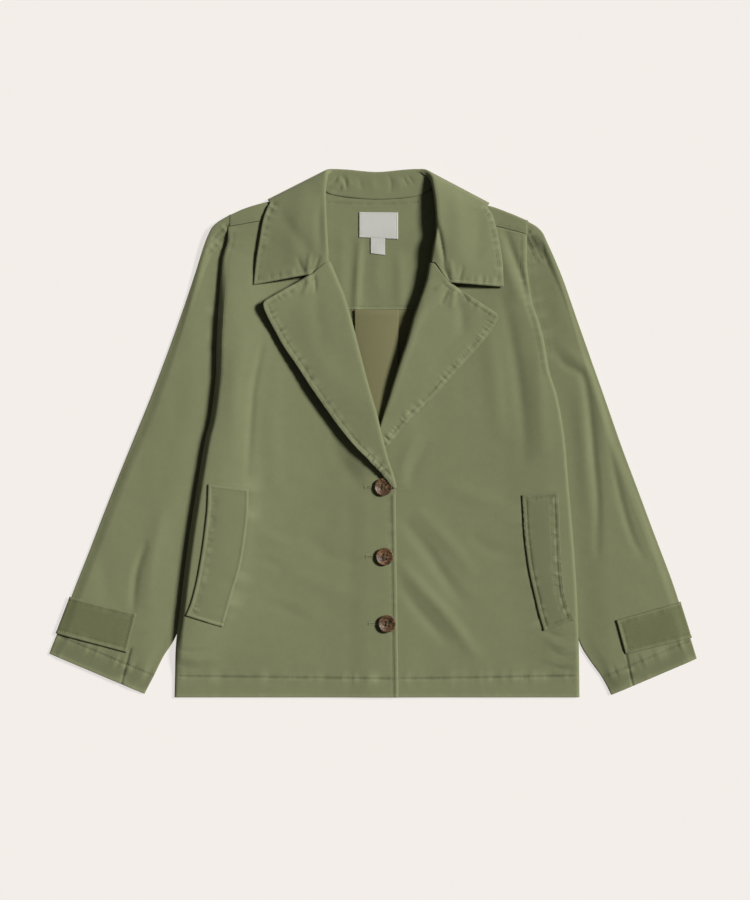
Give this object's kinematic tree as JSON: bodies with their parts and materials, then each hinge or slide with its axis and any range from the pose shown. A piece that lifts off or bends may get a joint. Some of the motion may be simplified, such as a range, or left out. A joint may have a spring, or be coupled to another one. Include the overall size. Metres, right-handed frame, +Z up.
{
  "type": "trench jacket laid flat",
  "caption": "Short twill trench jacket, buttoned and laid flat: notched collar and lapels, slanting welt pockets, tabbed cuffs and a box pleat in the back.",
  "frame": {"origin": "middle of the rest face, under the laid-out jacket", "axes": "+X across the jacket towards the wearer's left sleeve, +Y from the hem to the collar, +Z up off the surface that it lies on"},
  "size_m": [0.8092, 0.6611, 0.022],
  "materials": {
    "twill": "matt cotton twill, sage green",
    "label": "woven satin label, off white, blank",
    "button": "tortoise brown, polished"
  },
  "bodies": {
    "root": {"back_yoke": "twill", "back_panel": "twill", "front_right": "twill", "front_left": "twill", "facing_right": "twill", "facing_left": "twill", "collar": "twill", "sleeve_right": "twill", "sleeve_left": "twill", "cuff_tab_right": "twill", "cuff_tab_left": "twill", "pocket_welt_right": "twill", "pocket_welt_left": "twill", "neck_label": "label", "size_tab": "label", "button_top": "button", "button_middle": "button", "button_bottom": "button"}
  },
  "joints": []
}
